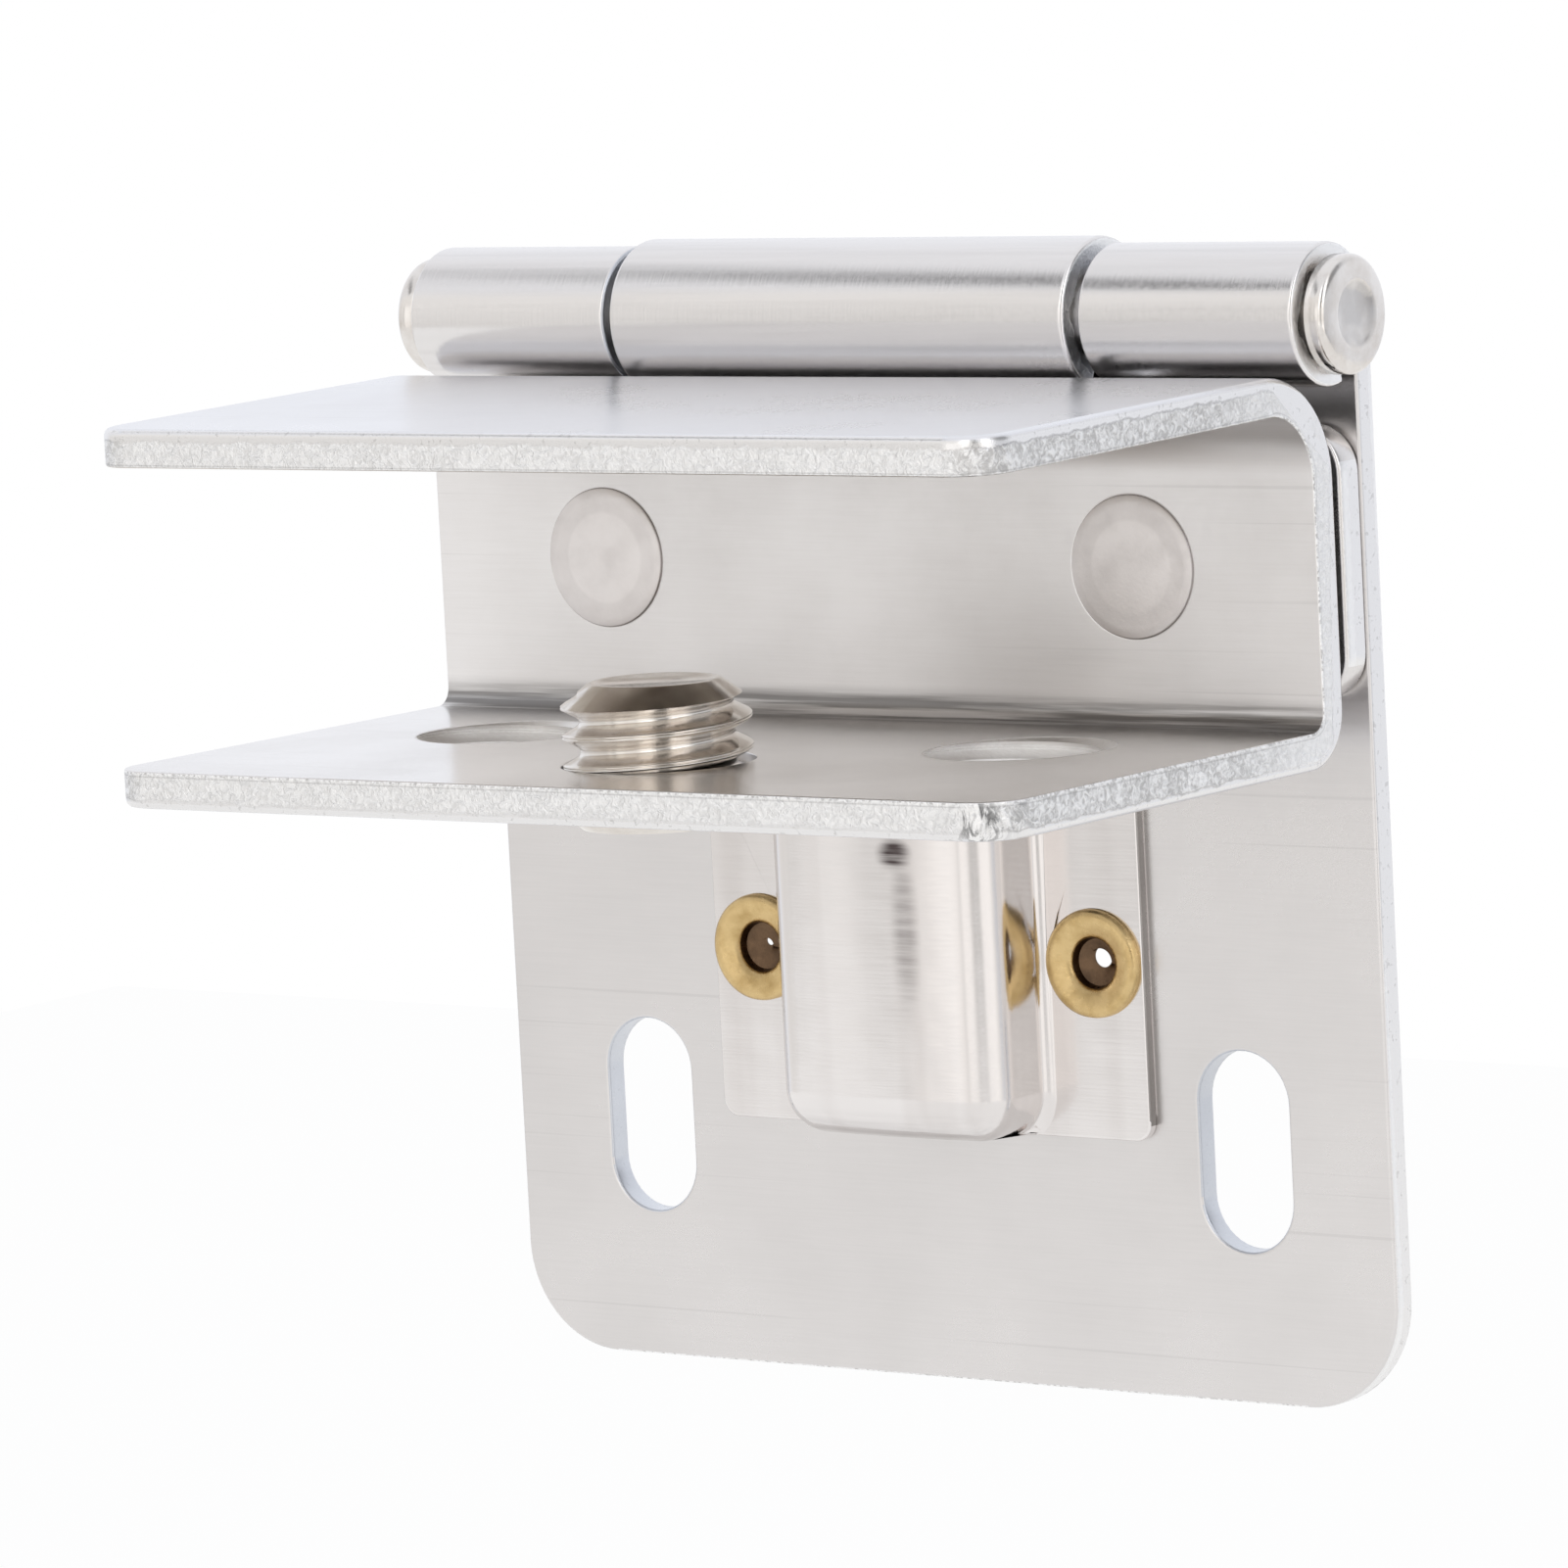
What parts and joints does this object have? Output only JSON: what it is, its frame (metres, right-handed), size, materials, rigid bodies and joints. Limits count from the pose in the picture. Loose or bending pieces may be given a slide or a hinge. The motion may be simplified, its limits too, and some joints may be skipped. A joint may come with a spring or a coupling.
{
  "type": "glass door hinge",
  "caption": "Clamp hinge for a glass door: a slotted plate and a folded glass channel turn on a pin, with a set screw for the pane and a pressed magnetic catch cover.",
  "frame": {"origin": "on the mounting plate's back face, midway between the two fixing slots", "axes": "+Y out of the plate's back face into the panel, +X along the hinge pin, +Z from the slots towards the pin"},
  "size_m": [0.0486, 0.0285, 0.0497],
  "materials": {
    "plate_nickel": "nickel-plated steel sheet, fine satin",
    "leaf_nickel": "nickel-plated steel sheet, rolled smooth",
    "channel_nickel": "nickel-plated steel sheet, fine satin with sheared edges",
    "pin_nickel": "nickel-plated turned steel",
    "rivet_steel": "flush-pressed steel",
    "screw_steel": "nickel-plated turned steel",
    "cover_nickel": "bright nickel-plated pressed steel",
    "eyelet_brass": "rolled brass",
    "magnet_ferrite": "dull dark ferrite",
    "pole_steel": "plain steel sheet"
  },
  "bodies": {
    "plate": {"mounting_plate": "plate_nickel", "hinge_pin": "pin_nickel", "catch_cover": "cover_nickel", "cover_eyelet_left": "eyelet_brass", "cover_eyelet_right": "eyelet_brass", "catch_magnet": "magnet_ferrite", "pole_plate_front": "pole_steel", "pole_plate_rear": "pole_steel"},
    "door": {"door_leaf": "leaf_nickel", "glass_channel": "channel_nickel", "channel_rivet_left": "rivet_steel", "channel_rivet_right": "rivet_steel"},
    "screw": {"clamp_screw": "screw_steel"}
  },
  "joints": [
    {"name": "door_hinge", "type": "hinge", "parent": "plate", "child": "door", "pos_m": [0, -0.003, 0.0356], "axis": [-1, 0, 0], "range_deg": [0, 180]},
    {"name": "clamp_screw_travel", "type": "slide", "parent": "door", "child": "screw", "axis": [0, 0, 1], "range_m": [-0.0034, 0.001]}
  ]
}
